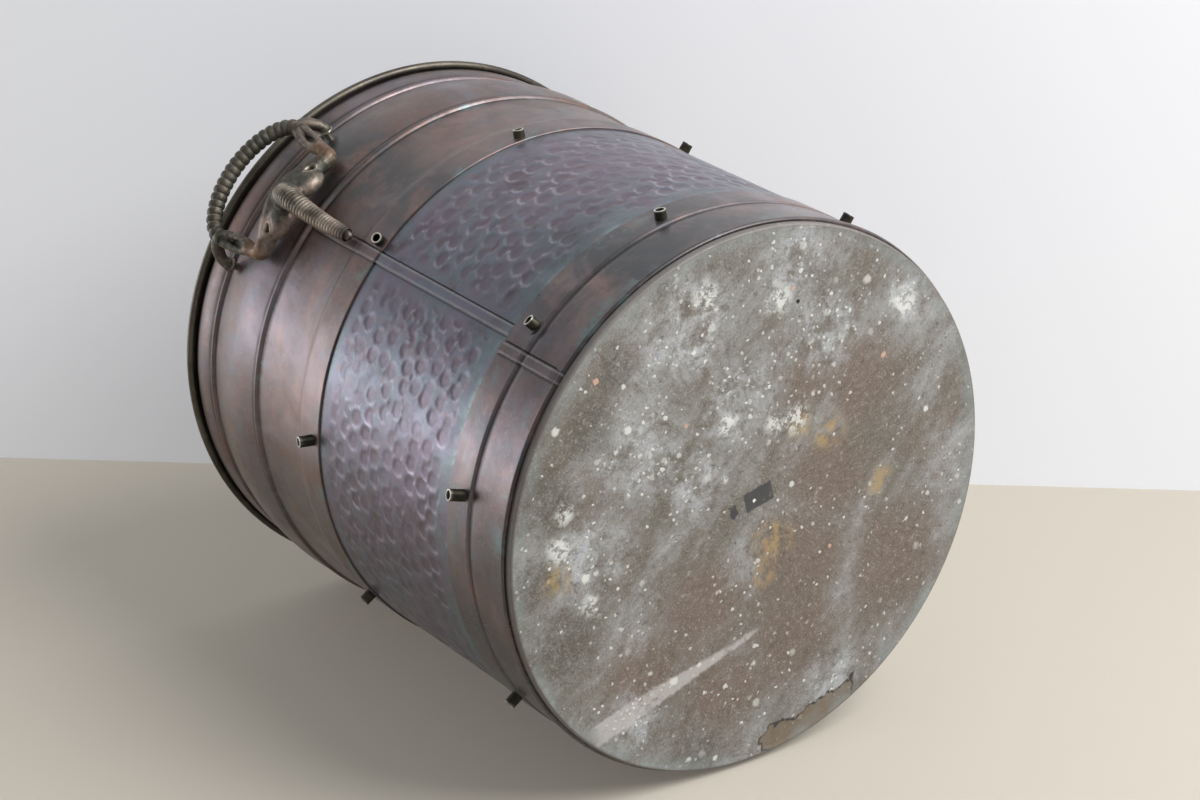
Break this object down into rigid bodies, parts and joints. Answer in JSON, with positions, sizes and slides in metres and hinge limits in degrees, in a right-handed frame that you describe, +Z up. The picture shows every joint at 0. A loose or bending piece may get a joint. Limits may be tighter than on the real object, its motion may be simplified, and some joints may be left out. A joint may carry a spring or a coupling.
{
  "type": "hammered copper bucket",
  "caption": "Round tapered bucket of hammered and plain sheet bands with tube rivets, a round rim hoop and two cast elephant-head handles.",
  "frame": {"origin": "middle of the underside of the base plate", "axes": "+Z up along the body's axis, towards the open mouth; +Y towards the main lock seam and one handle, with the other handle at -Y"},
  "size_m": [0.2986, 0.3402, 0.312],
  "materials": {
    "base_copper": "dull, stained, with pale mineral spots",
    "foot_copper": "tarnished, half shiny, with blue-green verdigris at the edges",
    "hammered_copper": "tarnished dark purple-brown, hammered",
    "upper_copper": "tarnished copper brown, half shiny",
    "hoop_brass": "tarnished olive brass",
    "cast_brass": "tarnished cast brass, polished on its high places",
    "tube_brass": "dark tarnished tube with bright worn ends"
  },
  "bodies": {
    "root": {"base_plate": "base_copper", "foot_band": "foot_copper", "hammered_band": "hammered_copper", "upper_band": "upper_copper", "rim_hoop": "hoop_brass", "handle_back": "cast_brass", "handle_front": "cast_brass", "handle_rivet_1": "tube_brass", "handle_rivet_2": "tube_brass", "handle_rivet_3": "tube_brass", "handle_rivet_4": "tube_brass", "lower_tube_rivet_1": "tube_brass", "lower_tube_rivet_2": "tube_brass", "lower_tube_rivet_3": "tube_brass", "lower_tube_rivet_4": "tube_brass", "lower_tube_rivet_5": "tube_brass", "lower_tube_rivet_6": "tube_brass", "lower_tube_rivet_7": "tube_brass", "lower_tube_rivet_8": "tube_brass", "lower_tube_rivet_9": "tube_brass", "upper_tube_rivet_1": "tube_brass", "upper_tube_rivet_2": "tube_brass", "upper_tube_rivet_3": "tube_brass", "upper_tube_rivet_4": "tube_brass", "upper_tube_rivet_5": "tube_brass", "upper_tube_rivet_6": "tube_brass", "upper_tube_rivet_7": "tube_brass", "upper_tube_rivet_8": "tube_brass", "upper_tube_rivet_9": "tube_brass"}
  },
  "joints": []
}
